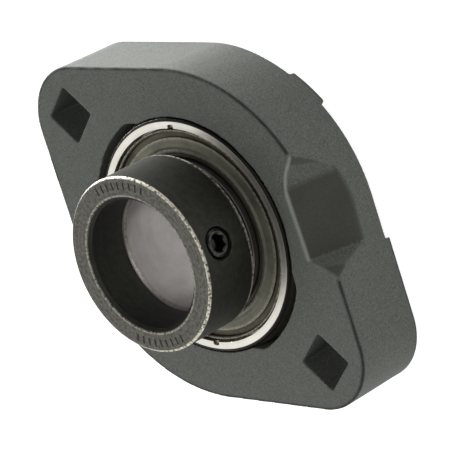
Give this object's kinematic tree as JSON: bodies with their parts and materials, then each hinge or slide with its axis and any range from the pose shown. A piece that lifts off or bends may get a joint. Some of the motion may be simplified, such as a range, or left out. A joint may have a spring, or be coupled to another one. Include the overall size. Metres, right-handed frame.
{
  "type": "flange mount bearing",
  "caption": "Two-bolt diamond flange bearing: a cast housing with a spherical seat holds a self-aligning ball insert with an eccentric locking collar.",
  "frame": {"origin": "on the shaft axis, at the mounting face", "axes": "+Z along the shaft axis, out of the mounting face towards the locking collar; +X along the line of the two bolt holes; +Y towards the side with the relief pocket"},
  "size_m": [0.1128, 0.0848, 0.0401],
  "materials": {
    "cast_housing": "fine as-cast skin, dark grey-green paint",
    "ground_ring_steel": "ground and polished",
    "bore_steel": "honed satin",
    "ball_steel": "mirror lapped",
    "pressed_steel": "pressed sheet, faint brown tint",
    "flinger_steel": "pressed sheet, faint concentric lines",
    "cage_steel": "pressed sheet, bright",
    "seal_rubber": "moulded nitrile, matt",
    "black_oxide_steel": "black oxide, worn bright at the edges",
    "screw_steel": "black oxide alloy steel"
  },
  "bodies": {
    "housing": {"flange_housing": "cast_housing"},
    "outer_ring_unit": {"outer_ring": "ground_ring_steel", "front_seal_shroud": "pressed_steel", "rear_seal_shroud": "pressed_steel", "front_seal_lip": "seal_rubber", "rear_seal_lip": "seal_rubber"},
    "inner_ring_unit": {"inner_ring": "bore_steel", "front_flinger": "flinger_steel", "rear_flinger": "flinger_steel"},
    "cage": {"cage_front": "cage_steel", "cage_rear": "cage_steel", "cage_rivet_1": "cage_steel", "cage_rivet_2": "cage_steel", "cage_rivet_3": "cage_steel", "cage_rivet_4": "cage_steel", "cage_rivet_5": "cage_steel", "cage_rivet_6": "cage_steel", "cage_rivet_7": "cage_steel", "cage_rivet_8": "cage_steel", "cage_rivet_9": "cage_steel"},
    "ball_1": {"ball_1": "ball_steel"},
    "ball_2": {"ball_2": "ball_steel"},
    "ball_3": {"ball_3": "ball_steel"},
    "ball_4": {"ball_4": "ball_steel"},
    "ball_5": {"ball_5": "ball_steel"},
    "ball_6": {"ball_6": "ball_steel"},
    "ball_7": {"ball_7": "ball_steel"},
    "ball_8": {"ball_8": "ball_steel"},
    "ball_9": {"ball_9": "ball_steel"},
    "locking_collar": {"locking_collar": "black_oxide_steel"},
    "set_screw": {"set_screw": "screw_steel"}
  },
  "joints": [
    {"name": "insert_align", "type": "hinge", "parent": "housing", "child": "outer_ring_unit", "pos_m": [0, 0, 0.0128], "axis": [1, 0, 0], "range_deg": [-3, 3]},
    {"name": "inner_spin", "type": "hinge", "parent": "outer_ring_unit", "child": "inner_ring_unit", "pos_m": [0, 0, 0.0128], "axis": [0, 0, 1], "continuous": true},
    {"name": "cage_orbit", "type": "hinge", "parent": "outer_ring_unit", "child": "cage", "pos_m": [0, 0, 0.0128], "axis": [0, 0, 1], "continuous": true},
    {"name": "ball_1_spin", "type": "hinge", "parent": "cage", "child": "ball_1", "pos_m": [0.023, 0, 0.0128], "axis": [0, 0, 1], "continuous": true},
    {"name": "ball_2_spin", "type": "hinge", "parent": "cage", "child": "ball_2", "pos_m": [0.01762, 0.01478, 0.0128], "axis": [0, 0, 1], "continuous": true},
    {"name": "ball_3_spin", "type": "hinge", "parent": "cage", "child": "ball_3", "pos_m": [0.00399, 0.02265, 0.0128], "axis": [0, 0, 1], "continuous": true},
    {"name": "ball_4_spin", "type": "hinge", "parent": "cage", "child": "ball_4", "pos_m": [-0.0115, 0.01992, 0.0128], "axis": [0, 0, 1], "continuous": true},
    {"name": "ball_5_spin", "type": "hinge", "parent": "cage", "child": "ball_5", "pos_m": [-0.02161, 0.00787, 0.0128], "axis": [0, 0, 1], "continuous": true},
    {"name": "ball_6_spin", "type": "hinge", "parent": "cage", "child": "ball_6", "pos_m": [-0.02161, -0.00787, 0.0128], "axis": [0, 0, 1], "continuous": true},
    {"name": "ball_7_spin", "type": "hinge", "parent": "cage", "child": "ball_7", "pos_m": [-0.0115, -0.01992, 0.0128], "axis": [0, 0, 1], "continuous": true},
    {"name": "ball_8_spin", "type": "hinge", "parent": "cage", "child": "ball_8", "pos_m": [0.00399, -0.02265, 0.0128], "axis": [0, 0, 1], "continuous": true},
    {"name": "ball_9_spin", "type": "hinge", "parent": "cage", "child": "ball_9", "pos_m": [0.01762, -0.01478, 0.0128], "axis": [0, 0, 1], "continuous": true},
    {"name": "collar_turn", "type": "hinge", "parent": "inner_ring_unit", "child": "locking_collar", "pos_m": [0, 0, 0.032], "axis": [0, 0, 1], "range_deg": [-25, 25]},
    {"name": "screw_travel", "type": "slide", "parent": "locking_collar", "child": "set_screw", "axis": [0.5948, 0.8039, 0], "range_m": [-0.0004, 0.004]}
  ],
  "couplings": [
    {"joint": "cage_orbit", "follows": "inner_spin", "ratio": 0.39647},
    {"joint": "ball_1_spin", "follows": "inner_spin", "ratio": -2.3112},
    {"joint": "ball_2_spin", "follows": "inner_spin", "ratio": -2.3112},
    {"joint": "ball_3_spin", "follows": "inner_spin", "ratio": -2.3112},
    {"joint": "ball_4_spin", "follows": "inner_spin", "ratio": -2.3112},
    {"joint": "ball_5_spin", "follows": "inner_spin", "ratio": -2.3112},
    {"joint": "ball_6_spin", "follows": "inner_spin", "ratio": -2.3112},
    {"joint": "ball_7_spin", "follows": "inner_spin", "ratio": -2.3112},
    {"joint": "ball_8_spin", "follows": "inner_spin", "ratio": -2.3112},
    {"joint": "ball_9_spin", "follows": "inner_spin", "ratio": -2.3112}
  ]
}
